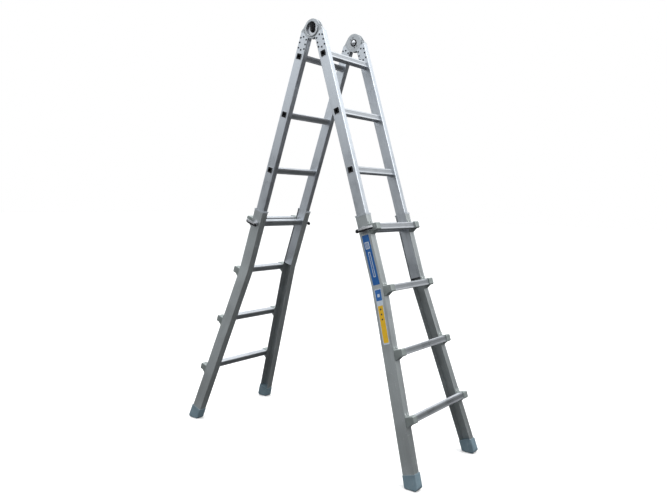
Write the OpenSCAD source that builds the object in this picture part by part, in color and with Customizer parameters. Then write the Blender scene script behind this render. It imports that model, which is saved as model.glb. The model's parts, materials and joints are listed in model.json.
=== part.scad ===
// Multi position telescopic ladder, drawn as a stepladder.
// Two sections lean against each other on a pair of locking hinges.
// In each section an outer frame slides over an inner frame and is held by a lock on each side.
// A section is drawn in its own frame: x is outward from the section, -z runs down the rails
// from the hinge pivot, and y is across the ladder. Millimetres, the floor is at z = 0.

/* [Stance] */
// Lean of each section from the vertical, in degrees
lean = 18; // [12:1:20]
// Distance down the rails from the hinge pivot to the floor
foot_d = 2093.5; // [2060:0.5:2140]
// Distance from the section's pivot plane out to the middle of its rails
rail_n = 32.1; // [32:0.1:34]

/* [Rungs] */
// Distance from one rung to the next
rung_pitch = 280; // [270:1:285]
// Distance from the pivot to the first rung
first_rung_d = 136.8; // [134:0.1:140]
// Side of the square rung tube
rung_size = 28; // [26:1:28]
// Wall of the rung tube
rung_wall = 2; // [1.5:0.1:2]
// How far the outer frame's rungs stand in front of the rail's middle
outer_rung_n = 48; // [47:0.5:49]

/* [Inner frame] */
// Depth of the inner rail
inner_depth = 52; // [52:0.5:53]
// Thickness of the inner rail across the ladder
inner_thick = 29.5; // [29.5:0.5:30.5]
// Wall of the rails
rail_wall = 2; // [1.8:0.1:2]
// Distance from the ladder's middle to the inner rail's outer face
inner_face = 181.5; // [170:0.5:181.5]
// Distance from the pivot to the inner rail's lower end
inner_end_d = 1225.5; // [1180:0.5:1231]

/* [Outer frame] */
// Depth of the outer rail
outer_depth = 57.5; // [57.5:0.5:58]
// Width of the outer rail's two flanges
flange_w = 38.7; // [36:0.1:40]
// Distance from the ladder's middle to the outer rail's outer face
outer_face = 187.4; // [187.4:0.1:188]
// Distance from the pivot to the outer rail's upper end
outer_top_d = 908.5; // [900:0.5:930]
// Distance from the pivot to the bend where the rails start to flare
flare_d = 1235.5; // [1234:0.5:1240]
// Outward flare of the lower rails, in degrees
flare = 6.67; // [4:0.1:7]

/* [Hinge] */
// Radius of the hinge discs
disc_r = 45; // [43:0.5:46]
// Outer radius of the bearing cup
cup_r = 34; // [33:0.5:34]
// Radius of the pivot bolt
bolt_r = 6; // [5:0.5:6]
// Radius at which the two hinge lock pins stand
lock_pin_ring = 25.5; // [24:0.5:26]

/* [Section locks] */
// Radius of the section lock's pin
pin_r = 7; // [6:0.5:7]
// How far the lock's bar stands off the rail's outer face
bar_stand = 22; // [21:0.5:24]

/* [Hidden] */
$fn = 64;

hinge_z = foot_d * cos(lean) - rail_n * sin(lean);
rungs_per_frame = 4;
fit_gap = 0.05;
corner_r = 3;
far = 3000;

// Rungs
rib_h = 0.8;
rib_w = 1.6;
rib_step = 4.6;
ribs = 5;
rib_end_gap = 1;
face_groove_w = 14;
face_groove_t = 0.6;
lip_w = 1.5;
lip_t = 1.2;
bush_len = 16;
bush_cap = 27;
bush_cap_t = 0.8;
bush_hole_r = pin_r + 0.3;
bush_pocket = 4.2;
bush_pocket_at = 8.8;
bush_pocket_t = 8;

// Rail ends and the hinge blades in them
rail_top_d = 28;
shoulder_h = 14;
plate_inset = 4;
arm_start = 0.5;
disc_gap = 1.5;
blade_end_d = 115;
blade_inset = 4;
plug_lip = 3;
plug_len = 20;
plug_gap = 0.1;
rivet_r = 3.4;
rivet_head_t = 0.7;
rivet_head_r = 4.4;
rivet_dent_r = 2.4;
rivet_dent = 2;
// Places of the blade rivets: distance down the rail, then distance from the rail's middle
BLADE_RIVETS = [[46, 2], [53, 18], [55, -17], [75, 18], [77, -18], [100, 18], [98, -18], [106, 0]];

// Hinge layers, as depths from the inner rail's outer face
rear_plates = [[2.1, 6], [23.5, 27.4]];
front_plates = [[6.3, 10.3], [19.2, 23.2]];
blade = [2.1, 27.4];
cup_rim = [-2.5, 1.9];
cup_floor = [20, 23.2];
cup_wall = 3;
cup_rim_r = cup_r + 3;
nut = [14.5, 20];
nut_r = 9.5;
head_base = 27.7;
head_h = 8.5;
head_r = 14;
lever_layer = [3.5, 9];
lever_grip_layer = [-1, 3.5];
lever_w = 24;
lever_above = 29;
lever_below = 17;
lever_grip_w = 13;
lever_grip_above = 25;
lever_grip_below = 8;
plunger_plate = [9.5, 12];
plunger_r = 30;
plunger_hole_r = 11;
lock_pin_r = 3.5;
lock_pin_gap = 0.1;
lock_pin_tip = 23.1;
// How far the sections are opened where the pins meet holes: closed (or straight), and as a stepladder
LOCK_OPENINGS = [0, 2 * lean];
lock_pin_turn = 60;

// Outer rail's profile, and the collar on its upper end
collar_t = 1.2;
collar_down = 6;
collar_up = 2;
groove_w = 4;
groove_t = 0.8;
groove_y = 21;
shoe_h = 62;
shoe_front = 34.5;
shoe_back = 31.5;
shoe_w = 46;
shoe_side = 3.8;
shoe_toe_r = 17;
shoe_heel_r = 14;
shoe_edge_r = 8;
shoe_wall_r = 6;
rail_cut_z = 9;
tread_w = 3;
tread_t = 2.5;
TREAD_GROOVES = [-15, -7.5, 7.5, 15];

// Rung brackets
bracket_w = 34;
bracket_side = 2.5;
bracket_depth = 41;
bracket_up = 16.5;
bracket_down = 16.5;
bracket_chamfer = 4;
ear_t = 3;
ear_h = 15;
gusset_h = 12;
gusset_reach = 24;
socket_end = 8;
rung_end_gap = 9;
ear_rivet_r = 2.5;
ear_rivet_head_r = 4.2;
ear_rivet_head_t = 1.6;
ear_rivet_up = 7.5;
ear_rivet_y = 9;

// Section locks
bar_t = 3.5;
bar_h = 9;
bar_low = -2;
bar_back = 27;
bar_front = 30;
bar_wing = 28;
wing_turn = -27;
bar_round = 0.4;
grip_t = 6.5;
grip_h = 8;
grip_low = -10;
knob_r = 8.5;
knob_back = 21.5;
knob_low = -2;
knob_t = 10;
pin_tip = -3.4;
sleeve_r = 16;
sleeve_t = 2.2;
boss_r = 11;
boss_t = 4.5;
sleeve_gap = 0.05;

function inner_rung_d(i) = first_rung_d + rung_pitch * (i - 1);
function outer_rung_d(i) = first_rung_d + rung_pitch * (i + rungs_per_frame - 2);
function outer_half(d) = outer_face + max(0, d - flare_d) * tan(flare);
lock_d = outer_rung_d(1);
flange_n = rail_n + outer_depth / 2;

// Points of a fillet of radius r at corner p, between the corners before and after it
function unit(v) = v / norm(v);
function fillet(a, p, b, r, steps = 8) =
    let (u = unit(a - p), w = unit(b - p))
    let (half = acos(u * w) / 2)
    let (c = p + unit(u + w) * r / sin(half))
    let (s = p + u * r / tan(half), e = p + w * r / tan(half))
    [for (i = [0 : steps]) c + r * unit((s - c) * (steps - i) + (e - c) * i)];

// Where things stand
module front() { translate([0, 0, hinge_z]) rotate([0, -lean, 0]) children(); }
module rear() { translate([0, 0, hinge_z]) mirror([1, 0, 0]) rotate([0, -lean, 0]) children(); }
module right() { children(); }
module left() { mirror([0, 1, 0]) children(); }
module both() { left() children(); right() children(); }

// A cylinder across the ladder at (n, d), between two depths from the inner rail's outer face
module across(n, d, layer, r) {
    translate([n, inner_face - layer[0], -d]) rotate([90, 0, 0]) cylinder(r = r, h = layer[1] - layer[0]);
}

// A flat shape in the section's plane, between two depths from the inner rail's outer face
module layer_of(layer) {
    translate([0, inner_face - layer[0], 0]) rotate([90, 0, 0]) linear_extrude(layer[1] - layer[0]) children();
}

// A rectangle with round corners, in the first quadrant
module round_rect(w, h, r) {
    translate([r, 0]) square([w - 2 * r, h]);
    translate([0, r]) square([w, h - 2 * r]);
    for (x = [r, w - r], y = [r, h - r]) translate([x, y]) circle(r);
}

// The inner frame ------------------------------------------------------------

module inner_rail_profile(grow = 0) {
    translate([rail_n - inner_depth / 2 + grow, inner_face - inner_thick + grow])
        round_rect(inner_depth - 2 * grow, inner_thick - 2 * grow, max(1, corner_r - grow));
}

module inner_rail() {
    color("silver") difference() {
        translate([0, 0, -inner_end_d]) linear_extrude(inner_end_d - rail_top_d - fit_gap) difference() {
            inner_rail_profile();
            inner_rail_profile(rail_wall);
        }
        for (i = [1 : rungs_per_frame]) rung_cut(inner_rung_d(i));
        across(0, 0, [-1, inner_thick + 1], disc_r + disc_gap);
        for (p = BLADE_RIVETS) across(rail_n + p[1], p[0], [-1, inner_thick + 1], rivet_r + fit_gap);
    }
}

// The square way that a rung takes through the rail
module rung_cut(d) {
    side = rung_size + 2 * fit_gap;
    translate([rail_n - side / 2, inner_face - inner_thick - 1, -d - side / 2])
        cube([side, inner_thick + 2, side]);
}

// A square rung tube of a given half length, ribbed on its upper and lower faces and grooved in front
module rung_tube(half_len, rib_half) {
    hollow = rung_size - 2 * rung_wall;
    difference() {
        union() {
            translate([-rung_size / 2, -half_len, -rung_size / 2]) cube([rung_size, 2 * half_len, rung_size]);
            for (i = [0 : ribs - 1], up = [0, 1]) mirror([0, 0, up])
                translate([(i - (ribs - 1) / 2) * rib_step - rib_w / 2, -rib_half, rung_size / 2 - fit_gap])
                    cube([rib_w, 2 * rib_half, rib_h + fit_gap]);
        }
        translate([-hollow / 2, -far / 2, -hollow / 2]) cube([hollow, far, hollow]);
        translate([rung_size / 2 - face_groove_t, -rib_half, -face_groove_w / 2])
            cube([rung_size, 2 * rib_half, face_groove_w]);
    }
}

module inner_rung(i) {
    side = rung_size + 2 * lip_w;
    hollow = rung_size - fit_gap;
    color("gainsboro") translate([rail_n, 0, -inner_rung_d(i)]) {
        rung_tube(inner_face + lip_t, inner_face - inner_thick - rib_end_gap);
        both() difference() {
            translate([-side / 2, inner_face, -side / 2]) cube([side, lip_t, side]);
            translate([-hollow / 2, inner_face - 1, -hollow / 2]) cube([hollow, lip_t + 2, hollow]);
        }
    }
}

// Plastic bushes in the rung ends, which take the section lock's pin
module rung_bushes() {
    side = rung_size - 2 * rung_wall - 2 * fit_gap;
    color([0.08, 0.08, 0.08]) both() for (i = [1 : rungs_per_frame]) difference() {
        union() {
            bush_block(i, 0, 0, side, lip_t - bush_len, lip_t);
            bush_block(i, 0, 0, bush_cap, lip_t, lip_t + bush_cap_t);
        }
        across(rail_n, inner_rung_d(i), [-far, far], bush_hole_r);
        for (x = [-1, 1], z = [-1, 1])
            bush_block(i, x * bush_pocket_at, z * bush_pocket_at, bush_pocket, -bush_pocket_t, far);
    }
}

// A square block in rung i's end, between two distances out from the inner rail's outer face
module bush_block(i, x, z, side, start, end) {
    translate([rail_n + x - side / 2, inner_face + start, z - side / 2 - inner_rung_d(i)])
        cube([side, end - start, side]);
}

// Plastic plugs that close the inner rails' lower ends
module rail_end_plugs() {
    color([0.1, 0.1, 0.1]) both() {
        translate([0, 0, -inner_end_d - plug_lip]) linear_extrude(plug_lip) inner_rail_profile();
        translate([0, 0, -inner_end_d]) linear_extrude(plug_len) inner_rail_profile(rail_wall + plug_gap);
    }
}

// The hinge ------------------------------------------------------------------

// Outline of a plate: a disc, and an arm whose outer edge runs from the disc to the rail's top,
// where it is a given distance in from the rail's outer edge
module half_outline(inset) {
    inside = rail_n - inner_depth / 2 + blade_inset;
    outside = rail_n + inner_depth / 2 - blade_inset;
    corner = [rail_n + inner_depth / 2 - inset, -rail_top_d];
    touch = atan2(corner[1], corner[0]) + acos(disc_r / norm(corner));
    circle(disc_r, $fn = 128);
    polygon([[0, 0], (disc_r - arm_start) * [cos(touch), sin(touch)], corner, [outside, -rail_top_d],
        [outside, -blade_end_d], [inside, -blade_end_d], [inside, -rail_top_d]]);
}

// One half: two plates, the blade that fills the rail's end, and a shoulder on top of the rail
module hinge_half(plates, bores) {
    color([0.62, 0.63, 0.64]) difference() {
        union() {
            layer_of(plates[0]) half_outline(0);
            layer_of(plates[1]) half_outline(plate_inset);
            difference() {
                union() {
                    layer_of(blade) cropped_outline(-blade_end_d, -rail_top_d);
                    layer_of([0, plates[1][0] + 0.1]) cropped_outline(-rail_top_d, shoulder_h - rail_top_d);
                }
                across(0, 0, [-1, inner_thick + 1], disc_r + disc_gap / 2, $fn = 128);
            }
        }
        for (i = [0, 1]) across(0, 0, [plates[i][0] - 0.1, plates[i][1] + 0.1], bores[i]);
        for (p = BLADE_RIVETS) across(rail_n + p[1], p[0], [-1, inner_thick + 1], rivet_r + fit_gap);
    }
}

// The part of a hinge half's outline between two heights
module cropped_outline(low, high) {
    intersection() {
        half_outline(0);
        translate([0, low]) square([far, high - low]);
    }
}

module front_hinge_half() { hinge_half(front_plates, [cup_r + fit_gap, cup_r + fit_gap]); }

module rear_hinge_half() {
    color([0.62, 0.63, 0.64]) difference() {
        hinge_half(rear_plates, [cup_r + fit_gap, bolt_r + fit_gap]);
        for (opening = LOCK_OPENINGS) lock_pins(rear_plates[1][0] - 0.1, rear_plates[1][1] + 0.1,
            lock_pin_r + lock_pin_gap, lock_pin_turn - opening);
    }
}

// The pair of lock pins, or the holes for them, between two depths
module lock_pins(start, end, r, turn) {
    for (side = [0, 180]) across(lock_pin_ring * cos(turn + side), -lock_pin_ring * sin(turn + side),
        [start, end], r);
}

// Tubular rivets that hold a blade in its rail
module hinge_rivets() {
    color([0.45, 0.46, 0.48]) both() for (p = BLADE_RIVETS) difference() {
        union() {
            across(rail_n + p[1], p[0], [-rivet_head_t, inner_thick + rivet_head_t], rivet_r);
            across(rail_n + p[1], p[0], [-rivet_head_t, 0], rivet_head_r);
            across(rail_n + p[1], p[0], [inner_thick, inner_thick + rivet_head_t], rivet_head_r);
        }
        across(rail_n + p[1], p[0], [-rivet_head_t - 1, rivet_dent], rivet_dent_r);
        across(rail_n + p[1], p[0], [inner_thick - rivet_dent, inner_thick + rivet_head_t + 1], rivet_dent_r);
    }
}

// Deep cup that the outer plates turn on, and that holds the lock's works
module hinge_cup() {
    color([0.7, 0.71, 0.72]) difference() {
        union() {
            across(0, 0, [cup_rim[0], cup_floor[1]], cup_r);
            across(0, 0, cup_rim, cup_rim_r);
        }
        across(0, 0, [cup_rim[0] - 1, cup_floor[0]], cup_r - cup_wall);
        across(0, 0, [0, inner_thick], bolt_r + fit_gap);
        lock_pins(cup_floor[0] - 0.1, cup_floor[1] + 0.1, lock_pin_r + lock_pin_gap, -lock_pin_turn);
    }
}

// Pivot bolt with a domed head on the inside of the ladder and a nut in the cup
module pivot_bolt() {
    dome_r = (head_r * head_r + head_h * head_h) / (2 * head_h);
    color([0.55, 0.56, 0.58]) {
        across(0, 0, [lever_layer[0] - 1, head_base + 1], bolt_r);
        across(0, 0, nut, nut_r, $fn = 6);
        translate([0, inner_face - head_base, 0]) rotate([90, 0, 0]) intersection() {
            cylinder(r = head_r, h = head_h + 1);
            translate([0, 0, head_h - dome_r]) sphere(dome_r);
        }
    }
}

// Upright lever in the cup: it turns on the bolt, and its longer arm points up
module release_lever() {
    color([0.06, 0.06, 0.06]) difference() {
        union() {
            layer_of(lever_layer) oblong(lever_w, lever_below, lever_above);
            layer_of(lever_grip_layer) oblong(lever_grip_w, lever_grip_below, lever_grip_above);
        }
        across(0, 0, [lever_layer[0] - 1.5, lever_layer[1] + 1], bolt_r + fit_gap);
    }
}

module oblong(w, below, above) {
    rotate(-lean) {
        translate([-w / 2, w / 2 - below]) square([w, above + below - w]);
        for (up = [w / 2 - below, above - w / 2]) translate([0, up]) circle(w / 2);
    }
}

// Ring in the cup that carries the two lock pins
module lock_plunger() {
    color([0.75, 0.72, 0.6]) {
        difference() {
            across(0, 0, plunger_plate, plunger_r);
            across(0, 0, [0, inner_thick], plunger_hole_r);
        }
        lock_pins(plunger_plate[1] - 0.5, lock_pin_tip, lock_pin_r, -lock_pin_turn);
    }
}

// The outer frame ------------------------------------------------------------

// A bar of the outer rail's bent shape: it lies between two depths in from the web's outer face,
// is centred on the rail's middle, and runs from one distance down the rail to another
module channel_band(start, end, depth, top_d, end_d) {
    translate([rail_n - depth / 2, 0, 0]) rotate([90, 0, 90]) linear_extrude(depth)
        polygon(concat(bent_line(start, top_d, end_d), bent_line(end, end_d, top_d)));
}

// The points of a line that keeps its depth in from the web's outer face, round the bend
function line_at(in, d) = d <= flare_d
    ? [outer_face - in, -d]
    : [outer_face - in, -flare_d - in * tan(flare / 2)] + (d - flare_d) * [sin(flare), -cos(flare)];
function bent_line(in, d1, d2) = max(d1, d2) <= flare_d
    ? [line_at(in, d1), line_at(in, d2)]
    : [line_at(in, d1), [outer_face - in, -flare_d - in * tan(flare / 2)], line_at(in, d2)];

// The frame of the flared lower part of a rail
module flared() { translate([0, outer_face, -flare_d]) rotate([flare, 0, 0]) children(); }

// The frame of a foot: its origin is on the floor under the rail's middle, and z is upright
module foot_frame() { translate([rail_n, 0, -foot_d]) rotate([0, lean, 0]) children(); }

module below(z) { foot_frame() translate([-far / 2, -far / 2, z - far]) cube(far); }

module outer_rail() {
    foot_end_d = foot_d + 60;
    groove_depth = outer_depth - 2 * groove_t;
    color([0.5, 0.5, 0.47]) difference() {
        channel_band(0, flange_w, outer_depth, outer_top_d, foot_end_d);
        channel_band(rail_wall, flange_w + 10, outer_depth - 2 * rail_wall, outer_top_d - 10, foot_end_d + 10);
        difference() {
            channel_band(groove_y - groove_w / 2, groove_y + groove_w / 2, outer_depth + 2,
                outer_top_d - 10, foot_end_d + 10);
            channel_band(0, flange_w, groove_depth, outer_top_d - 20, foot_end_d + 20);
        }
        below(rail_cut_z);
        across(rail_n, lock_d, [inner_face - outer_face - 1, 0], pin_r + sleeve_gap);
        for (i = [1 : rungs_per_frame]) ear_rivet_shafts(i, ear_rivet_r + fit_gap);
    }
}

// Distances across the ladder of bracket i's outer side and of its middle
function bracket_y(i) = outer_half(outer_rung_d(i)) - bracket_side;

module rung_bracket(i) {
    cut = rung_size + 2 * fit_gap;
    d = outer_rung_d(i);
    color([0.5, 0.52, 0.5]) difference() {
        translate([flange_n, bracket_y(i), -d]) rotate([90, 0, 0]) linear_extrude(bracket_w)
            polygon([[0, bracket_up + ear_h], [ear_t, bracket_up + ear_h], [ear_t, bracket_up],
                [bracket_depth - bracket_chamfer, bracket_up], [bracket_depth, bracket_up - bracket_chamfer],
                [bracket_depth, bracket_chamfer - bracket_down],
                [bracket_depth - bracket_chamfer, -bracket_down], [gusset_reach, -bracket_down],
                [ear_t, -bracket_down - gusset_h], [0, -bracket_down - gusset_h]]);
        translate([rail_n + outer_rung_n - cut / 2, bracket_y(i) - bracket_w - 1, -d - cut / 2])
            cube([cut, bracket_w + 1 - socket_end + 2, cut]);
        ear_rivet_shafts(i, ear_rivet_r + fit_gap);
    }
}

module rung_brackets() { both() for (i = [1 : rungs_per_frame]) rung_bracket(i); }

// Shafts of the two rivets in bracket i's upper ear, through the ear and the flange
module ear_rivet_shafts(i, r) {
    for (s = [-1, 1]) at_ear_rivet(i, s) translate([0, 0, -ear_t - rail_wall - 0.01])
        cylinder(r = r, h = ear_t + rail_wall + 0.02);
}

// The middle of an ear rivet, on the ear's front face, with z outward
module at_ear_rivet(i, s) {
    translate([flange_n + ear_t, bracket_y(i) - bracket_w / 2 + s * ear_rivet_y,
        bracket_up + ear_rivet_up - outer_rung_d(i)]) rotate([0, 90, 0]) children();
}

module bracket_rivets() {
    color([0.7, 0.7, 0.7]) both() for (i = [1 : rungs_per_frame], s = [-1, 1]) at_ear_rivet(i, s) {
        translate([0, 0, -ear_t - rail_wall]) cylinder(r = ear_rivet_r, h = ear_t + rail_wall + 0.2);
        cylinder(r1 = ear_rivet_head_r, r2 = ear_rivet_r, h = ear_rivet_head_t);
    }
}

module outer_rung(i) {
    half = bracket_y(i) - rung_end_gap;
    color("gainsboro") translate([rail_n + outer_rung_n, 0, -outer_rung_d(i)])
        rung_tube(half, bracket_y(i) - bracket_w - rib_end_gap);
}

// Side view of a shoe, in the section's plane
module shoe_side_view() {
    front_n = rail_n + shoe_front;
    back_n = rail_n - shoe_back;
    top = [[back_n, shoe_h - foot_d], [front_n, shoe_h - foot_d]];
    toe = [front_n, -foot_d - shoe_front * tan(lean)];
    heel = [back_n, shoe_back * tan(lean) - foot_d];
    polygon(concat(top, fillet(top[1], toe, heel, shoe_toe_r), fillet(toe, heel, top[0], shoe_heel_r)));
}

// End view of a shoe, in the foot's frame, with its sides along the flared rail
module shoe_end_view() {
    up = 2 * shoe_h * [-tan(flare), 1];
    outside = [outer_half(foot_d) + shoe_side, 0];
    inside = outside - [shoe_w, 0];
    polygon(concat([inside + up, outside + up], fillet(outside + up, outside, inside, shoe_edge_r),
        fillet(outside, inside, inside + up, shoe_edge_r)));
}

module shoe() {
    color([0.38, 0.45, 0.5]) difference() {
        intersection() {
            flared() translate([rail_n - shoe_back, shoe_side - shoe_w, flare_d - foot_d - 60])
                linear_extrude(far) round_rect(shoe_front + shoe_back, shoe_w, shoe_wall_r);
            translate([0, far / 2, 0]) rotate([90, 0, 0]) linear_extrude(far) shoe_side_view();
            foot_frame() translate([-far / 2, 0, 0]) rotate([90, 0, 90]) linear_extrude(far) shoe_end_view();
        }
        difference() {
            channel_band(-fit_gap, flange_w + fit_gap, outer_depth + 2 * fit_gap, flare_d, foot_d + 60);
            channel_band(rail_wall + fit_gap, flange_w + 10, outer_depth - 2 * rail_wall - 2 * fit_gap,
                flare_d - 10, foot_d + 70);
            below(rail_cut_z - fit_gap);
        }
        for (x = TREAD_GROOVES) foot_frame() translate([x - tread_w / 2, 0, -1]) cube([tread_w, far, tread_t + 1]);
    }
}

module shoes() { both() shoe(); }

// Guides around the section lock's pins
module lock_sleeves() {
    web = inner_face - outer_face;
    color([0.6, 0.6, 0.58]) both() difference() {
        union() {
            across(rail_n, lock_d, [web - sleeve_t, web], sleeve_r);
            across(rail_n, lock_d, [web - boss_t, web], boss_r);
        }
        across(rail_n, lock_d, [web - boss_t - 1, web + 1], pin_r + sleeve_gap);
    }
}

// Plastic collars on the upper ends of the outer rails, which guide the inner rails
module guide_collars() {
    color([0.6, 0.62, 0.62]) both() difference() {
        channel_band(-collar_t, flange_w + collar_t, outer_depth + 2 * collar_t, outer_top_d - collar_up,
            outer_top_d + collar_down);
        channel_band(-fit_gap, flange_w + fit_gap, outer_depth + 2 * fit_gap, outer_top_d, flare_d);
        channel_band(rail_wall, flange_w + 10, outer_depth - 2 * rail_wall, outer_top_d - 10, flare_d);
    }
}

// The section locks ----------------------------------------------------------

// The frame of a section lock: its pin's axis is y, and the rail's outer face is y = 0
module at_lock() { translate([rail_n, outer_face, -lock_d]) children(); }

// A bar along the rail's outer side, with a wing bent towards the rung bracket.
// Its middle line starts at the rear, turns at the bend and ends at the wing's tip.
module bar_shape(stand, t, low, h) {
    along = [cos(wing_turn), sin(wing_turn)];
    start = [-bar_back, stand];
    bend = [bar_front, stand];
    tip = bend + bar_wing * along;
    side = [0, t / 2];
    bend_side = [-tan(wing_turn / 2), 1] * t / 2;
    tip_side = [-along[1], along[0]] * t / 2;
    r = t * bar_round;
    translate([0, 0, low]) linear_extrude(h) polygon(concat(
        fillet(start - side, start + side, bend + bend_side, r, 4), [bend + bend_side],
        fillet(bend + bend_side, tip + tip_side, tip - tip_side, r, 4),
        fillet(tip + tip_side, tip - tip_side, bend - bend_side, r, 4), [bend - bend_side],
        fillet(bend - bend_side, start - side, start + side, r, 4)));
}

module lock_bar() {
    color("gainsboro") at_lock() {
        bar_shape(bar_stand + bar_t / 2, bar_t, bar_low, bar_h);
        translate([0, pin_tip, 0]) rotate([-90, 0, 0]) cylinder(r = pin_r, h = bar_stand + 0.5 - pin_tip);
    }
}

// Grip under the bar, with a round knob over the bar's rear end
module lock_grip() {
    middle = bar_stand + bar_t / 2;
    color([0.08, 0.08, 0.08]) at_lock() difference() {
        union() {
            bar_shape(middle, grip_t, grip_low, grip_h);
            translate([-knob_back, middle - knob_t / 2, knob_low]) rotate([-90, 0, 0])
                cylinder(r = knob_r, h = knob_t);
        }
        bar_shape(middle, bar_t + 2 * fit_gap, bar_low, bar_h + fit_gap);
        rotate([-90, 0, 0]) cylinder(r = pin_r + sleeve_gap, h = bar_stand + 0.5);
    }
}

front() left() inner_rail();  // front_left_inner_rail
front() right() inner_rail();  // front_right_inner_rail
front() inner_rung(1);  // front_inner_rung_1
front() inner_rung(2);  // front_inner_rung_2
front() inner_rung(3);  // front_inner_rung_3
front() inner_rung(4);  // front_inner_rung_4
front() rung_bushes();  // front_rung_bushes
front() rail_end_plugs();  // front_rail_end_plugs
front() left() front_hinge_half();  // front_left_hinge_half
front() right() front_hinge_half();  // front_right_hinge_half
front() hinge_rivets();  // front_hinge_rivets
front() left() hinge_cup();  // left_hinge_cup
front() right() hinge_cup();  // right_hinge_cup
front() left() pivot_bolt();  // left_pivot_bolt
front() right() pivot_bolt();  // right_pivot_bolt
front() left() release_lever();  // left_release_lever
front() right() release_lever();  // right_release_lever
front() left() lock_plunger();  // left_lock_plunger
front() right() lock_plunger();  // right_lock_plunger
rear() left() inner_rail();  // rear_left_inner_rail
rear() right() inner_rail();  // rear_right_inner_rail
rear() inner_rung(1);  // rear_inner_rung_1
rear() inner_rung(2);  // rear_inner_rung_2
rear() inner_rung(3);  // rear_inner_rung_3
rear() inner_rung(4);  // rear_inner_rung_4
rear() rung_bushes();  // rear_rung_bushes
rear() rail_end_plugs();  // rear_rail_end_plugs
rear() left() rear_hinge_half();  // rear_left_hinge_half
rear() right() rear_hinge_half();  // rear_right_hinge_half
rear() hinge_rivets();  // rear_hinge_rivets
front() left() outer_rail();  // front_left_outer_rail
front() right() outer_rail();  // front_right_outer_rail
front() outer_rung(1);  // front_outer_rung_1
front() outer_rung(2);  // front_outer_rung_2
front() outer_rung(3);  // front_outer_rung_3
front() outer_rung(4);  // front_outer_rung_4
front() rung_brackets();  // front_rung_brackets
front() bracket_rivets();  // front_bracket_rivets
front() shoes();  // front_shoes
front() lock_sleeves();  // front_lock_sleeves
front() guide_collars();  // front_guide_collars
rear() left() outer_rail();  // rear_left_outer_rail
rear() right() outer_rail();  // rear_right_outer_rail
rear() outer_rung(1);  // rear_outer_rung_1
rear() outer_rung(2);  // rear_outer_rung_2
rear() outer_rung(3);  // rear_outer_rung_3
rear() outer_rung(4);  // rear_outer_rung_4
rear() rung_brackets();  // rear_rung_brackets
rear() bracket_rivets();  // rear_bracket_rivets
rear() shoes();  // rear_shoes
rear() lock_sleeves();  // rear_lock_sleeves
rear() guide_collars();  // rear_guide_collars
front() left() lock_bar();  // front_left_lock_bar
front() right() lock_bar();  // front_right_lock_bar
rear() left() lock_bar();  // rear_left_lock_bar
rear() right() lock_bar();  // rear_right_lock_bar
front() left() lock_grip();  // front_left_lock_grip
front() right() lock_grip();  // front_right_lock_grip
rear() left() lock_grip();  // rear_left_lock_grip
rear() right() lock_grip();  // rear_right_lock_grip
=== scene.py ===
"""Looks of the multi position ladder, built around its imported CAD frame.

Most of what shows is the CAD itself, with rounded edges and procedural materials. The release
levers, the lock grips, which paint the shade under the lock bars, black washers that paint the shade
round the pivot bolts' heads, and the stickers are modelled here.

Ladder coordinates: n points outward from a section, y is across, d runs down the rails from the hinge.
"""

import json
import math

import bpy
from mathutils import Matrix, Vector


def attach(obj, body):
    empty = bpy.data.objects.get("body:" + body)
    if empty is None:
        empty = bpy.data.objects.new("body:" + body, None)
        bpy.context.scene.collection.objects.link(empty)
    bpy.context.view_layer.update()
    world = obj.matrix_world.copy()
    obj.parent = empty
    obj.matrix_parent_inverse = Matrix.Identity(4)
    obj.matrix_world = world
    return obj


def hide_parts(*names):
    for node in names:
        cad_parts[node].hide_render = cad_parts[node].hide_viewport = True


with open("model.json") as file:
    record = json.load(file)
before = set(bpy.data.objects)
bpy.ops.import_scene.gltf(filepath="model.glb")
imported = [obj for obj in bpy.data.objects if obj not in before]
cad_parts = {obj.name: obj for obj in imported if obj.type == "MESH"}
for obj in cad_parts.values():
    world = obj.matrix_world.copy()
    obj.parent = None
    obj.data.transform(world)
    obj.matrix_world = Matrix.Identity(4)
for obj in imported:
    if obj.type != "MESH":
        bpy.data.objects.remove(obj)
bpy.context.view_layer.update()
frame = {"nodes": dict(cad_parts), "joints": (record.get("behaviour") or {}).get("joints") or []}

# ---------------------------------------------------------------- driving dimensions, in metres

JOINTS = {joint["name"]: joint for joint in frame["joints"]}
PIVOT = Vector(JOINTS["fold"]["pos_m"])
LEAN = math.atan2(-JOINTS["front_telescope"]["axis"][0], JOINTS["front_telescope"]["axis"][2])
# The rails' middle, and the outer faces of the outer and the inner rails
RAIL_N = 0.0321
OUTER_FACE = 0.1874
INNER_FACE = 0.1815
# Where the outer rails bend outward, and by how much
FLARE_D = 1.2355
FLARE = math.radians(6.67)
FIRST_RUNG_D = 0.1368
RUNG_PITCH = 0.28
LOCK_D = FIRST_RUNG_D + 3 * RUNG_PITCH
SECTIONS = {"front": 1, "rear": -1}
SIDES = {"left": -1, "right": 1}


def outer_half(d):
    """Distance from the middle of the ladder to an outer rail's outer face."""
    return OUTER_FACE + max(0.0, d - FLARE_D) * math.tan(FLARE)


def place(section, side, n, y, d):
    """Row-frame point of a point in ladder coordinates, with y outward on that side."""
    x = n * math.cos(LEAN) + d * math.sin(LEAN)
    z = PIVOT.z + n * math.sin(LEAN) - d * math.cos(LEAN)
    return Vector((SECTIONS[section] * x, SIDES[side] * y, z))


# ---------------------------------------------------------------- shader helpers

def add_node(tree, kind, settings=None, **sockets):
    """A new shader node. Sockets named by keyword are linked to another socket or set to a value."""
    node = tree.nodes.new(kind)
    for name, value in (settings or {}).items():
        setattr(node, name, value)
    for name, value in sockets.items():
        socket = node.inputs[int(name[1:])] if name[0] == "i" and name[1:].isdigit() else node.inputs[
            name.replace("_", " ")]
        if isinstance(value, bpy.types.NodeSocket):
            tree.links.new(value, socket)
        else:
            socket.default_value = value
    return node


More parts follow.
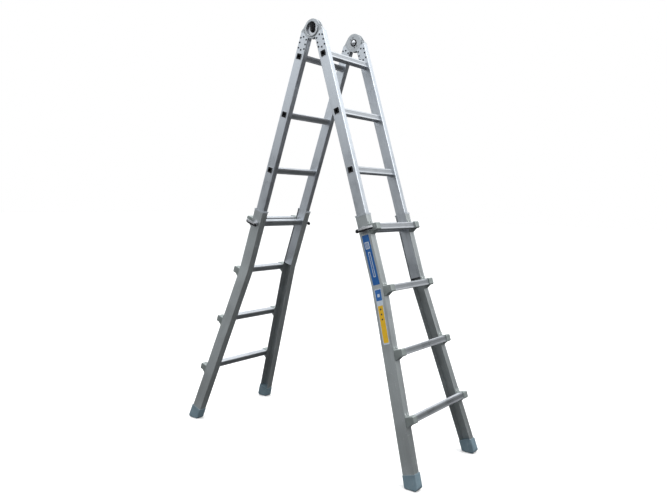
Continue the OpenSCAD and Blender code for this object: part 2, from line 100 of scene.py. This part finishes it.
def maths(tree, operation, a, b=0.0, clamp=False):
    settings = {"operation": operation, "use_clamp": clamp}
    return add_node(tree, "ShaderNodeMath", settings, i0=a, i1=b).outputs[0]


def mapped(tree, value, low, high, out_low=0.0, out_high=1.0):
    """value carried from low..high to out_low..out_high, and clamped there."""
    return add_node(tree, "ShaderNodeMapRange", i0=value, i1=low, i2=high, i3=out_low, i4=out_high).outputs[0]


def noise(tree, vector, scale, detail=2.0, rough=0.5):
    node = add_node(tree, "ShaderNodeTexNoise", Vector=vector, Scale=scale, Detail=detail, Roughness=rough)
    return node.outputs["Fac"]


def mixed(tree, factor, a, b):
    """Colour a where factor is 0 and b where it is 1."""
    node = add_node(tree, "ShaderNodeMix", {"data_type": "RGBA"})
    for socket, value in ((node.inputs[0], factor), (node.inputs[6], a), (node.inputs[7], b)):
        if isinstance(value, bpy.types.NodeSocket):
            tree.links.new(value, socket)
        elif isinstance(value, (int, float)):
            socket.default_value = value
        else:
            socket.default_value = (*value, 1.0)
    return node.outputs[2]


def ladder_group():
    """Node group that turns object coordinates into ladder coordinates (n, y, d), in metres."""
    group = bpy.data.node_groups.new("ladder_coordinates", "ShaderNodeTree")
    for name in ("N", "Y", "D"):
        group.interface.new_socket(name, in_out="OUTPUT", socket_type="NodeSocketFloat")
    out = group.nodes.new("NodeGroupOutput")
    place_node = add_node(group, "ShaderNodeTexCoord")
    axes = add_node(group, "ShaderNodeSeparateXYZ", Vector=place_node.outputs["Object"])
    across = maths(group, "ABSOLUTE", axes.outputs["X"])
    down = maths(group, "SUBTRACT", PIVOT.z, axes.outputs["Z"])
    n = maths(group, "SUBTRACT", maths(group, "MULTIPLY", across, math.cos(LEAN)),
              maths(group, "MULTIPLY", down, math.sin(LEAN)))
    d = maths(group, "ADD", maths(group, "MULTIPLY", across, math.sin(LEAN)),
              maths(group, "MULTIPLY", down, math.cos(LEAN)))
    spread = maths(group, "MULTIPLY", maths(group, "MAXIMUM", maths(group, "SUBTRACT", d, FLARE_D), 0.0),
                   math.tan(FLARE))
    y = maths(group, "SUBTRACT", maths(group, "ABSOLUTE", axes.outputs["Y"]), spread)
    for name, value in (("N", n), ("Y", y), ("D", d)):
        group.links.new(value, out.inputs[name])
    return group


LADDER = ladder_group()


def ladder_vector(tree, n_scale, y_scale, d_scale):
    """Ladder coordinates as a vector, each axis scaled, and the node that gives them unscaled."""
    group = add_node(tree, "ShaderNodeGroup", {"node_tree": LADDER})
    scaled = [maths(tree, "MULTIPLY", group.outputs[name], scale)
              for name, scale in (("N", n_scale), ("Y", y_scale), ("D", d_scale))]
    vector = add_node(tree, "ShaderNodeCombineXYZ", X=scaled[0], Y=scaled[1], Z=scaled[2]).outputs[0]
    return vector, group


def new_material(name):
    """An empty node material and its Principled shader."""
    material = bpy.data.materials.new(name)
    material.use_nodes = True
    tree = material.node_tree
    tree.nodes.clear()
    shader = add_node(tree, "ShaderNodeBsdfPrincipled")
    output = add_node(tree, "ShaderNodeOutputMaterial", Surface=shader.outputs[0])
    output.is_active_output = True
    return material, tree, shader


def finish_shader(tree, shader, colour, roughness, height, bump_distance, bump_strength=0.4):
    bump = add_node(tree, "ShaderNodeBump", Strength=bump_strength, Distance=bump_distance, Height=height)
    tree.links.new(colour, shader.inputs["Base Color"])
    tree.links.new(roughness, shader.inputs["Roughness"])
    tree.links.new(bump.outputs[0], shader.inputs["Normal"])


# ---------------------------------------------------------------- materials

# Half the height of a rung's grooved middle, from fully to not grooved, and the grooves' phase per metre
GROOVED_FULL, GROOVED_END = 0.0068, 0.0074
GROOVE_PHASE = 2700.0


def rung_groove_shade(tree, base, d):
    """base with painted groove shade: darker ribs on the middle of each rung's front and back faces."""
    turns = maths(tree, "MULTIPLY", maths(tree, "SUBTRACT", d, FIRST_RUNG_D), 1 / RUNG_PITCH)
    off = maths(tree, "MULTIPLY", maths(tree, "SUBTRACT", turns, maths(tree, "ROUND", turns)), RUNG_PITCH)
    middle = mapped(tree, maths(tree, "ABSOLUTE", off), GROOVED_FULL, GROOVED_END, 1.0, 0.0)
    wave = maths(tree, "SINE", maths(tree, "MULTIPLY", off, GROOVE_PHASE))
    ribs = mapped(tree, wave, -0.6, 0.6, 0.6, 0.3)
    # Painted groove shade: the near-black rib colour stands in for the shade inside the grooves.
    return mixed(tree, maths(tree, "MULTIPLY", middle, ribs), base, (0.10, 0.11, 0.12))


def extruded_aluminium(name, colour, tint, along, roughness=0.38, grime=0.25, metallic=0.85):
    """Extruded aluminium: die lines along one ladder axis, cloudy oxide, and fine scratches."""
    material, tree, shader = new_material(name)
    shader.inputs["Metallic"].default_value = metallic
    stretch = {"d": (520.0, 520.0, 5.0), "y": (520.0, 5.0, 520.0)}[along]
    lines_at, _ = ladder_vector(tree, *stretch)
    clouds_at, group = ladder_vector(tree, 1.0, 1.0, 1.0)
    lines = noise(tree, lines_at, 1.0, 3.0, 0.6)
    clouds = noise(tree, clouds_at, 9.0, 4.0, 0.6)
    specks = noise(tree, clouds_at, 160.0, 2.0)
    scratch_at, _ = ladder_vector(tree, 90.0, 90.0, 90.0)
    twist = add_node(tree, "ShaderNodeMapping", Vector=scratch_at, Rotation=(0.5, 0.3, 0.7),
                     Scale=(1.0, 0.06, 0.4))
    scratches = mapped(tree, noise(tree, twist.outputs[0], 2.0, 2.0), 0.66, 0.72)
    shade = maths(tree, "ADD", maths(tree, "MULTIPLY", lines, 0.4), maths(tree, "MULTIPLY", clouds, 0.6))
    base = mixed(tree, mapped(tree, shade, 0.3, 0.7), tint, colour)
    dirt = maths(tree, "MULTIPLY", mapped(tree, clouds, 0.52, 0.75), grime)
    base = mixed(tree, dirt, base, tuple(0.55 * c for c in tint))
    base = mixed(tree, maths(tree, "MULTIPLY", scratches, 0.35), base, (0.85, 0.86, 0.88))
    # Rungs get painted groove shade.
    if along == "y":
        base = rung_groove_shade(tree, base, group.outputs["D"])
    rough = maths(tree, "ADD", mapped(tree, lines, 0.3, 0.7, roughness - 0.07, roughness + 0.07),
                  mapped(tree, clouds, 0.4, 0.7, -0.03, 0.1))
    height = maths(tree, "ADD", lines, maths(tree, "MULTIPLY", specks, 0.25))
    finish_shader(tree, shader, base, rough, height, 0.00012)
    return material


def cast_metal(name, colour, tint, roughness=0.5, grain=700.0, metallic=0.8, depth=0.00025):
    """Cast or tumbled metal: a fine grain, with darker pits."""
    material, tree, shader = new_material(name)
    shader.inputs["Metallic"].default_value = metallic
    at, _ = ladder_vector(tree, 1.0, 1.0, 1.0)
    fine = noise(tree, at, grain, 3.0, 0.7)
    clouds = noise(tree, at, 28.0, 4.0, 0.6)
    pits = add_node(tree, "ShaderNodeTexVoronoi", Vector=at, Scale=grain * 0.5).outputs["Distance"]
    pit_mask = mapped(tree, pits, 0.05, 0.3, 1.0, 0.0)
    base = mixed(tree, mapped(tree, clouds, 0.3, 0.7), tint, colour)
    base = mixed(tree, maths(tree, "MULTIPLY", pit_mask, 0.35), base, tuple(0.5 * c for c in tint))
    bright = tuple(min(1.0, 1.25 * c) for c in colour)
    base = mixed(tree, mapped(tree, fine, 0.35, 0.75, 0.0, 0.25), base, bright)
    rough = mapped(tree, fine, 0.3, 0.7, roughness - 0.08, roughness + 0.1)
    height = maths(tree, "SUBTRACT", fine, maths(tree, "MULTIPLY", pit_mask, 0.6))
    finish_shader(tree, shader, base, rough, height, depth, 0.5)
    return material


def plated_steel(name, colour, tint, roughness=0.3):
    """Zinc plated steel with a soft spangle and rub marks."""
    material, tree, shader = new_material(name)
    shader.inputs["Metallic"].default_value = 0.95
    at, _ = ladder_vector(tree, 1.0, 1.0, 1.0)
    spangle = add_node(tree, "ShaderNodeTexVoronoi", Vector=at, Scale=260.0).outputs["Color"]
    value = add_node(tree, "ShaderNodeSeparateColor", Color=spangle).outputs[0]
    rubs_at, _ = ladder_vector(tree, 60.0, 900.0, 900.0)
    rubs = noise(tree, rubs_at, 1.0, 3.0)
    base = mixed(tree, maths(tree, "MULTIPLY", value, 0.5), colour, tint)
    base = mixed(tree, mapped(tree, rubs, 0.55, 0.8, 0.0, 0.4), base, tuple(0.6 * c for c in tint))
    rough = maths(tree, "ADD", mapped(tree, rubs, 0.3, 0.7, roughness - 0.06, roughness + 0.12),
                  maths(tree, "MULTIPLY", value, 0.06))
    finish_shader(tree, shader, base, rough, rubs, 0.00008)
    return material


def moulded_plastic(name, colour, tint, roughness=0.5, grain=1400.0, scuff=(0.3, 0.3, 0.3), scuffs=0.25,
                    specular=0.4):
    """Moulded plastic or rubber: spark-eroded grain, faint flow marks and scuffs."""
    material, tree, shader = new_material(name)
    shader.inputs["Specular IOR Level"].default_value = specular
    at, _ = ladder_vector(tree, 1.0, 1.0, 1.0)
    fine = noise(tree, at, grain, 2.0, 0.6)
    flow = noise(tree, at, 35.0, 4.0, 0.55)
    marks_at, _ = ladder_vector(tree, 60.0, 220.0, 40.0)
    marks = mapped(tree, noise(tree, marks_at, 1.0, 4.0, 0.7), 0.56, 0.72)
    base = mixed(tree, mapped(tree, flow, 0.3, 0.7), tint, colour)
    base = mixed(tree, maths(tree, "MULTIPLY", marks, scuffs), base, scuff)
    rough = maths(tree, "ADD", mapped(tree, fine, 0.3, 0.7, roughness - 0.06, roughness + 0.06),
                  maths(tree, "MULTIPLY", marks, 0.12))
    finish_shader(tree, shader, base, rough, fine, 0.0002, 0.35)
    return material


def printed_film(name, colour, tint):
    """Glossy printed sticker: even ink with a slight orange peel, rubbed a little pale."""
    material, tree, shader = new_material(name)
    shader.inputs["Coat Weight"].default_value = 0.25
    shader.inputs["Coat Roughness"].default_value = 0.15
    at, _ = ladder_vector(tree, 1.0, 1.0, 1.0)
    peel = noise(tree, at, 450.0, 2.0)
    worn = noise(tree, at, 60.0, 4.0, 0.7)
    base = mixed(tree, mapped(tree, worn, 0.35, 0.75), colour, tint)
    rough = mapped(tree, worn, 0.3, 0.7, 0.3, 0.5)
    finish_shader(tree, shader, base, rough, peel, 0.00005, 0.3)
    return material


MATERIALS = {
    "inner_rail": extruded_aluminium("inner_rail_aluminium", (0.70, 0.73, 0.77), (0.52, 0.55, 0.59), "d",
                                     roughness=0.34, metallic=0.92),
    "outer_rail": extruded_aluminium("outer_rail_aluminium", (0.52, 0.55, 0.555), (0.40, 0.42, 0.42), "d",
                                     roughness=0.4, grime=0.3, metallic=0.75),
    "rung": extruded_aluminium("rung_aluminium", (0.70, 0.72, 0.75), (0.58, 0.60, 0.63), "y", roughness=0.34),
    "bracket": cast_metal("bracket_casting", (0.38, 0.41, 0.40), (0.28, 0.31, 0.30), metallic=0.7),
    # Near-black: painted shade in the crimp dimples that hold the hinge arms in the rails.
    "rivet": cast_metal("rivet_metal", (0.07, 0.075, 0.085), (0.04, 0.045, 0.05), roughness=0.5,
                        metallic=0.5),
    "bracket_rivet": cast_metal("bracket_rivet_metal", (0.6, 0.61, 0.62), (0.45, 0.46, 0.47), roughness=0.4),
    "hinge": cast_metal("hinge_casting", (0.54, 0.56, 0.58), (0.38, 0.40, 0.42), roughness=0.4, grain=420.0),
    "bolt": plated_steel("bolt_plating", (0.66, 0.67, 0.70), (0.50, 0.51, 0.53)),
    "lock_bar": plated_steel("lock_bar_plating", (0.78, 0.78, 0.80), (0.62, 0.63, 0.65), roughness=0.25),
    "black": moulded_plastic("black_plastic", (0.010, 0.010, 0.012), (0.006, 0.006, 0.007), specular=0.25),
    "collar": moulded_plastic("collar_plastic", (0.50, 0.53, 0.56), (0.40, 0.43, 0.46),
                              scuff=(0.62, 0.64, 0.66)),
    "shoe": moulded_plastic("shoe_rubber", (0.19, 0.26, 0.30), (0.145, 0.20, 0.235), roughness=0.6,
                            grain=900.0, scuff=(0.36, 0.41, 0.45), scuffs=0.45, specular=0.3),
    "blue": printed_film("blue_film", (0.010, 0.10, 0.36), (0.02, 0.15, 0.44)),
    "white": printed_film("white_film", (0.62, 0.68, 0.74), (0.5, 0.57, 0.65)),
    "yellow": printed_film("yellow_film", (0.82, 0.48, 0.006), (0.74, 0.43, 0.012)),
    "ink": printed_film("ink_film", (0.03, 0.03, 0.03), (0.05, 0.045, 0.03)),
}

# How each kind of CAD node is finished: part of its name, its material, and its edge radius
FINISHES = [
    ("inner_rung", "rung", 0.0004),
    ("outer_rung", "rung", 0.0006),
    ("rung_bushes", "black", 0.0003),
    ("end_plugs", "black", 0.0005),
    ("rung_brackets", "bracket", 0.0014),
    ("bracket_rivets", "bracket_rivet", 0.0003),
    ("hinge_rivets", "rivet", 0.0003),
    ("hinge_half", "hinge", 0.0011),
    ("hinge_cup", "hinge", 0.0006),
    ("pivot_bolt", "bolt", 0.0006),
    ("plunger", "bolt", 0.0004),
    ("sleeves", "bolt", 0.0005),
    ("collars", "collar", 0.0005),
    ("lock_bar", "lock_bar", 0.0008),
    ("inner_rail", "inner_rail", 0.0004),
    ("outer_rail", "outer_rail", 0.0016),
    ("lever", "black", 0.0008),
    ("grip", "black", 0.001),
    ("shoes", "shoe", 0.001),
]


# How strongly the larger faces set the shading at an edge
NORMAL_WEIGHT = 60


def soften(piece, radius):
    """Rounds a CAD node's edges, and shades its flat and round faces smoothly."""
    piece.data.shade_smooth()
    weld = piece.modifiers.new("weld", "WELD")
    weld.merge_threshold = 0.00001
    bevel = piece.modifiers.new("edges", "BEVEL")
    bevel.width = radius
    bevel.segments = 2
    bevel.limit_method = "ANGLE"
    bevel.angle_limit = math.radians(35)
    bevel.use_clamp_overlap = True
    normals = piece.modifiers.new("normals", "WEIGHTED_NORMAL")
    normals.keep_sharp = True
    normals.weight = NORMAL_WEIGHT


def dress_cad_nodes():
    for name, piece in frame["nodes"].items():
        kind, material, radius = next(f for f in FINISHES if f[0] in name)
        piece.data.materials.clear()
        piece.data.materials.append(MATERIALS[material])
        soften(piece, radius)


dress_cad_nodes()


# ---------------------------------------------------------------- mesh helpers

def mesh_piece(name, points, faces, body, material, slot, mirrored=False):
    """A mesh in row-frame points that rides on a body. Mirrored shapes have their faces turned round."""
    mesh = bpy.data.meshes.new(name)
    mesh.from_pydata([tuple(p) for p in points], [], [f[::-1] if mirrored else f for f in faces])
    mesh.validate()
    mesh.shade_smooth()
    piece = bpy.data.objects.new(name, mesh)
    bpy.context.scene.collection.objects.link(piece)
    mesh.materials.append(MATERIALS[material])
    normals = piece.modifiers.new("normals", "WEIGHTED_NORMAL")
    normals.weight = NORMAL_WEIGHT
    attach(piece, body)
    return piece


def band(low, high, count):
    """Faces between two closed rings of count points, which start at points low and high."""
    return [(low + j, low + (j + 1) % count, high + (j + 1) % count, high + j) for j in range(count)]


def loft(rings):
    """One list of points, and the faces that join closed rings in order and close both ends."""
    count = len(rings[0])
    faces = []
    for i in range(len(rings) - 1):
        faces += band(i * count, (i + 1) * count, count)
    faces.append(tuple(reversed(range(count))))
    faces.append(tuple((len(rings) - 1) * count + j for j in range(count)))
    return [p for ring in rings for p in ring], faces


def round_rect(width, height, radius, steps=6):
    """Corners of a round-cornered rectangle centred on the origin, anticlockwise."""
    points = []
    for corner, (sx, sy) in enumerate(((1, 1), (-1, 1), (-1, -1), (1, -1))):
        for i in range(steps + 1):
            angle = math.radians(90 * (corner + i / steps))
            points.append((sx * (width / 2 - radius) + radius * math.cos(angle),
                           sy * (height / 2 - radius) + radius * math.sin(angle)))
    return points


def row_points(section, side, points):
    """Row-frame points of ladder points (n, y, d)."""
    return [place(section, side, n, y, d) for n, y, d in points]


def joined(*shapes):
    """One list of points and one of faces from several (points, faces) pairs."""
    points, faces = [], []
    for shape_points, shape_faces in shapes:
        start = len(points)
        points += shape_points
        faces += [tuple(start + i for i in face) for face in shape_faces]
    return points, faces


def turned(section, side):
    """Whether a shape in ladder coordinates is mirrored when it is placed."""
    return SECTIONS[section] * SIDES[side] > 0


# ---------------------------------------------------------------- release levers

LEVER_HALF = 0.012
LEVER_ABOVE = 0.029
LEVER_BELOW = 0.017
# Height above the lever's base, and how far the outline is drawn in there
LEVER_PROFILE = [(0.0, 0.0008), (0.0008, 0.0), (0.0042, 0.0), (0.0054, 0.0006), (0.0060, 0.0022),
                 (0.0060, 0.0046), (0.0068, 0.0054), (0.0088, 0.0057), (0.0096, 0.0062), (0.0099, 0.0075),
                 (0.0096, 0.0092)]
LEVER_DEPTH = 0.009
LEVER_BASE_Y = INNER_FACE - LEVER_DEPTH


def oblong(half_width, below, above, steps=12):
    """An upright oblong round the origin: (across, up) points, anticlockwise."""
    points = []
    for start, centre in ((0, above - half_width), (180, half_width - below)):
        for i in range(steps + 1):
            angle = math.radians(start + 180 * i / steps)
            points.append((half_width * math.cos(angle), centre + half_width * math.sin(angle)))
    return points


def release_lever(side):
    """A thumb lever: a rounded plate with a raised rib whose top is dished."""
    sign = SIDES[side]
    rings = []
    for height, inset in LEVER_PROFILE:
        outline = oblong(LEVER_HALF - inset, LEVER_BELOW - inset, LEVER_ABOVE - inset)
        rings.append([Vector((u, sign * (LEVER_BASE_Y + height), PIVOT.z + v)) for u, v in outline])
    piece = mesh_piece(f"{side}_thumb_lever", *loft(rings), f"{side}_lever", "black", "black_plastic",
                       mirrored=sign > 0)
    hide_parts(f"{side}_release_lever")


for lever_side in SIDES:
    release_lever(lever_side)


# ---------------------------------------------------------------- painted shade round the pivot bolts' heads: black washers

SHADE_WASHER_Y = INNER_FACE - 0.02745
# The shade washer's section: radius, and height above its base
SHADE_WASHER_PROFILE = [(0.0125, 0.0), (0.0180, 0.0), (0.0184, 0.0005), (0.0180, 0.0012), (0.0160, 0.0024),
                  (0.0135, 0.0028), (0.0125, 0.0024)]
SHADE_WASHER_STEPS = 40


def circle(radius, steps):
    """Points of a circle round the origin, anticlockwise from its right."""
    return [(radius * math.cos(2 * math.pi * j / steps), radius * math.sin(2 * math.pi * j / steps))
            for j in range(steps)]


def bolt_shade_washer(side):
    """A black dished washer round the pivot bolt's head, inside the ladder: painted shade round the head."""
    sign = SIDES[side]
    points, faces = [], []
    for i, (radius, height) in enumerate(SHADE_WASHER_PROFILE):
        points += [Vector((u, sign * (SHADE_WASHER_Y - height), PIVOT.z + v))
                   for u, v in circle(radius, SHADE_WASHER_STEPS)]
        following = (i + 1) % len(SHADE_WASHER_PROFILE)
        faces += band(i * SHADE_WASHER_STEPS, following * SHADE_WASHER_STEPS, SHADE_WASHER_STEPS)
    mesh_piece(f"{side}_bolt_shade_washer", points, faces, "front_inner_frame", "black", "black_plastic",
               mirrored=sign < 0)


for shade_washer_side in SIDES:
    bolt_shade_washer(shade_washer_side)


# ---------------------------------------------------------------- section lock grips, painting the bars' shade

BAR_STAND, BAR_T = 0.022, 0.0035
BAR_Y = OUTER_FACE + BAR_STAND + BAR_T / 2
# Size and place of the black grip that paints the shade under the lock bar
SHADE_GRIP_BACK, SHADE_GRIP_FRONT, SHADE_GRIP_WING = 0.027, 0.030, 0.028
WING = math.radians(27)
WING_BLEND = 0.006
SHADE_GRIP_LOW, SHADE_GRIP_HIGH = -0.010, -0.002
SHADE_GRIP_T, SHADE_GRIP_CORNER = 0.0055, 0.0018
SHADE_GRIP_RIBS, RIB_DEPTH = 16, 0.0004
KNOB_BACK, KNOB_LOW, KNOB_R, KNOB_HALF = 0.0215, -0.002, 0.0085, 0.005
# Shares of the knob's half length at which it has a ring, the roundness of its ends, and its least radius
KNOB_SHARES = [-1.0, -0.97, -0.85, -0.6, -0.25, 0.0, 0.25, 0.6, 0.85, 0.97, 1.0]
KNOB_ROUND = 2.6
KNOB_END_R = 0.0012
KNOB_STEPS = 28


def shade_grip_path(steps=64):
    """Points (along, stand) and normals on the shade grip's middle line, from its rear end to the wing's tip.
    """
    whole = SHADE_GRIP_BACK + SHADE_GRIP_FRONT + SHADE_GRIP_WING
    path = []
    for i in range(steps + 1):
        run = whole * i / steps
        past = run - SHADE_GRIP_BACK - SHADE_GRIP_FRONT
        blend = min(1.0, max(0.0, past / WING_BLEND + 0.5))
        angle = -WING * blend
        if past <= 0:
            point = (run - SHADE_GRIP_BACK, BAR_Y)
        else:
            point = (SHADE_GRIP_FRONT + past * math.cos(WING), BAR_Y - past * math.sin(WING))
        path.append((point, (-math.sin(angle), math.cos(angle)), run / whole))
    return path


def lock_grip(section, side):
    """Ribbed grip painting the shade under the lock's bar, with a round knob over the bar's rear end."""
    # The ribbed grip is painted shade under the bar; the knob is the bar's black end cap.
    rings = []
    height = SHADE_GRIP_HIGH - SHADE_GRIP_LOW
    for (along, stand), (na, ns), share in shade_grip_path():
        ribs = RIB_DEPTH * math.cos(2 * math.pi * SHADE_GRIP_RIBS * share)
        taper = min(1.0, 12 * share + 0.35, 12 * (1 - share) + 0.35)
        outline = round_rect(SHADE_GRIP_T * taper + ribs, height * (0.75 + 0.25 * taper), SHADE_GRIP_CORNER * taper, 4)
        rings.append([(RAIL_N + along + u * na, stand + u * ns, LOCK_D - (SHADE_GRIP_LOW + SHADE_GRIP_HIGH) / 2 - v)
                      for u, v in outline])
    shade_grip_shape = loft(rings)
    discs = []
    for share in KNOB_SHARES:
        radius = max(KNOB_END_R, KNOB_R * (1 - abs(share) ** KNOB_ROUND) ** 0.5)
        discs.append([(RAIL_N - KNOB_BACK + u, BAR_Y + KNOB_HALF * share, LOCK_D - KNOB_LOW - v)
                      for u, v in circle(radius, KNOB_STEPS)])
    points, faces = joined(shade_grip_shape, loft(discs))
    piece = mesh_piece(f"{section}_{side}_ribbed_shade_grip", row_points(section, side, points), faces,
                       f"{section}_{side}_lock", "black", "black_plastic", mirrored=turned(section, side))
    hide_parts(f"{section}_{side}_lock_grip")


for shade_grip_section in SECTIONS:
    for shade_grip_side in SIDES:
        lock_grip(shade_grip_section, shade_grip_side)


# ---------------------------------------------------------------- stickers on the near rail

def sticker(name, box, lift, material):
    """A thin plate on the near front rail's outer face: box is low n, high n, low d and high d."""
    n0, n1, d0, d1 = box
    corner = min(0.0025, (n1 - n0) / 3, (d1 - d0) / 3)
    outline = round_rect(n1 - n0, d1 - d0, corner, 4)
    rings = []
    for height in (0.0, lift):
        rings.append([place("front", "left", RAIL_N + (n0 + n1) / 2 + u,
                            outer_half((d0 + d1) / 2 - v) + height, (d0 + d1) / 2 - v) for u, v in outline])
    mesh_piece(name, *loft(rings), "front_outer_frame", material, "label")


# How far a sticker's film, its print and what is printed over that stand off the rail
FILM, LONG_FILM = 0.0003, 0.0004
PRINT, LINE_PRINT, TOP_PRINT = 0.0005, 0.0006, 0.0007


def make_stickers():
    sticker("sticker_blue", (-0.0185, 0.0175, 1.0025, 1.2285), FILM, "blue")
    sticker("sticker_square", (-0.013, 0.010, 1.0335, 1.0655), PRINT, "white")
    for i in range(3):
        low = -0.010 + 0.006 * i
        sticker(f"sticker_square_line_{i}", (low, low + 0.003, 1.0375, 1.0615), LINE_PRINT, "blue")
    sticker("sticker_stripe", (-0.006, 0.006, 1.0795, 1.1935), PRINT, "white")
    sticker("sticker_stripe_inner", (-0.003, 0.003, 1.0835, 1.1895), LINE_PRINT, "blue")
    sticker("sticker_small", (-0.0175, 0.0175, 1.2465, 1.3155), FILM, "white")
    sticker("sticker_small_blue", (-0.0155, 0.0155, 1.2505, 1.2995), PRINT, "blue")
    sticker("sticker_small_dot", (-0.006, 0.006, 1.2695, 1.2835), TOP_PRINT, "white")
    sticker("sticker_long", (-0.0165, 0.0165, 1.3155, 1.4905), LONG_FILM, "white")
    sticker("sticker_long_yellow", (-0.0135, 0.0135, 1.3215, 1.4835), PRINT, "yellow")
    for i in range(3):
        middle = 1.3375 + 0.022 * i
        box = (-0.0045, 0.0035, middle - 0.004, middle + 0.004)
        sticker(f"sticker_mark_{i}", box, TOP_PRINT, "ink")


make_stickers()


# ---------------------------------------------------------------- surroundings

CAMERA_PLACE = (1.985, -2.580, 1.2036)
# Azimuth, pitch and roll, in degrees
CAMERA_TURN = (37.24, -4.64, 1.50)
SENSOR_WIDTH, LENS = 36.0, 35.3
FLOOR_HALF = 30.0


def make_camera():
    """Camera at standing height, to the ladder's front left."""
    camera = bpy.data.objects.new("camera", bpy.data.cameras.new("camera"))
    bpy.context.scene.collection.objects.link(camera)
    azimuth, pitch, roll = (math.radians(a) for a in CAMERA_TURN)
    forward = Vector((-math.sin(azimuth) * math.cos(pitch), math.cos(azimuth) * math.cos(pitch),
                      math.sin(pitch)))
    level = Vector((math.cos(azimuth), math.sin(azimuth), 0.0))
    upright = level.cross(forward)
    right = level * math.cos(roll) + upright * math.sin(roll)
    up = upright * math.cos(roll) - level * math.sin(roll)
    rotation = Matrix((right, up, -forward)).transposed()
    camera.matrix_world = Matrix.Translation(CAMERA_PLACE) @ rotation.to_4x4()
    camera.data.sensor_width = SENSOR_WIDTH
    camera.data.lens = LENS
    bpy.context.scene.camera = camera


def make_floor():
    """A white floor. Metal sees the grey ground of the world in its place, so that undersides stay dark."""
    mesh = bpy.data.meshes.new("floor")
    corners = [(sx * FLOOR_HALF, sy * FLOOR_HALF, 0) for sx, sy in ((-1, -1), (1, -1), (1, 1), (-1, 1))]
    mesh.from_pydata(corners, [], [(0, 1, 2, 3)])
    floor = bpy.data.objects.new("floor", mesh)
    bpy.context.scene.collection.objects.link(floor)
    floor.visible_diffuse = False
    floor.visible_glossy = False
    material, tree, shader = new_material("floor_paint")
    shader.inputs["Base Color"].default_value = (1.0, 0.975, 0.955, 1.0)
    shader.inputs["Roughness"].default_value = 0.9
    shader.inputs["Specular IOR Level"].default_value = 0.1
    mesh.materials.append(material)


def area_light(name, location, target, size, power, colour=(1.0, 1.0, 1.0)):
    light = bpy.data.objects.new(name, bpy.data.lights.new(name, "AREA"))
    light.data.shape = "RECTANGLE"
    light.data.size, light.data.size_y = size
    light.data.energy = power
    light.data.color = colour
    light.location = location
    light.rotation_euler = (Vector(target) - Vector(location)).to_track_quat("-Z", "Y").to_euler()
    bpy.context.scene.collection.objects.link(light)


def make_light():
    """A white backdrop for the camera. The object sees a bright sky over grey ground, brighter in front."""
    world = bpy.data.worlds.new("studio")
    bpy.context.scene.world = world
    world.use_nodes = True
    tree = world.node_tree
    tree.nodes.clear()
    direction = add_node(tree, "ShaderNodeTexCoord").outputs["Generated"]
    axes = add_node(tree, "ShaderNodeSeparateXYZ", Vector=direction)
    side = maths(tree, "ADD", maths(tree, "MULTIPLY", axes.outputs["X"], 0.6),
                 maths(tree, "MULTIPLY", axes.outputs["Y"], 0.4))
    horizon = mapped(tree, axes.outputs["Z"], mapped(tree, side, -0.7, 0.7, 0.02, 0.06),
                     mapped(tree, side, -0.7, 0.7, 0.20, 0.48))
    overhead = mapped(tree, axes.outputs["Z"], 0.2, 0.9, 0.0, 0.15)
    sky = maths(tree, "ADD", mapped(tree, side, -0.7, 0.7, 1.25, 1.2), overhead)
    ground = mapped(tree, side, -0.7, 0.7, 0.17, 0.06)
    rise = maths(tree, "SUBTRACT", sky, ground)
    strength = maths(tree, "ADD", ground, maths(tree, "MULTIPLY", horizon, rise))
    room = add_node(tree, "ShaderNodeBackground", Color=(0.94, 0.975, 1.0, 1.0), Strength=strength)
    backdrop = add_node(tree, "ShaderNodeBackground", Color=(1.0, 1.0, 1.0, 1.0), Strength=1.0)
    path = add_node(tree, "ShaderNodeLightPath")
    both = add_node(tree, "ShaderNodeMixShader", i0=path.outputs["Is Camera Ray"], i1=room.outputs[0],
                    i2=backdrop.outputs[0])
    add_node(tree, "ShaderNodeOutputWorld", Surface=both.outputs[0])
    middle = (0.0, 0.0, 1.1)
    area_light("key", (3.6, 1.0, 3.6), middle, (2.4, 2.4), 90.0)
    area_light("top", (-0.4, 0.4, 4.6), middle, (3.0, 3.0), 60.0)
    bpy.context.scene.view_settings.view_transform = "Standard"


make_camera()
make_floor()
make_light()
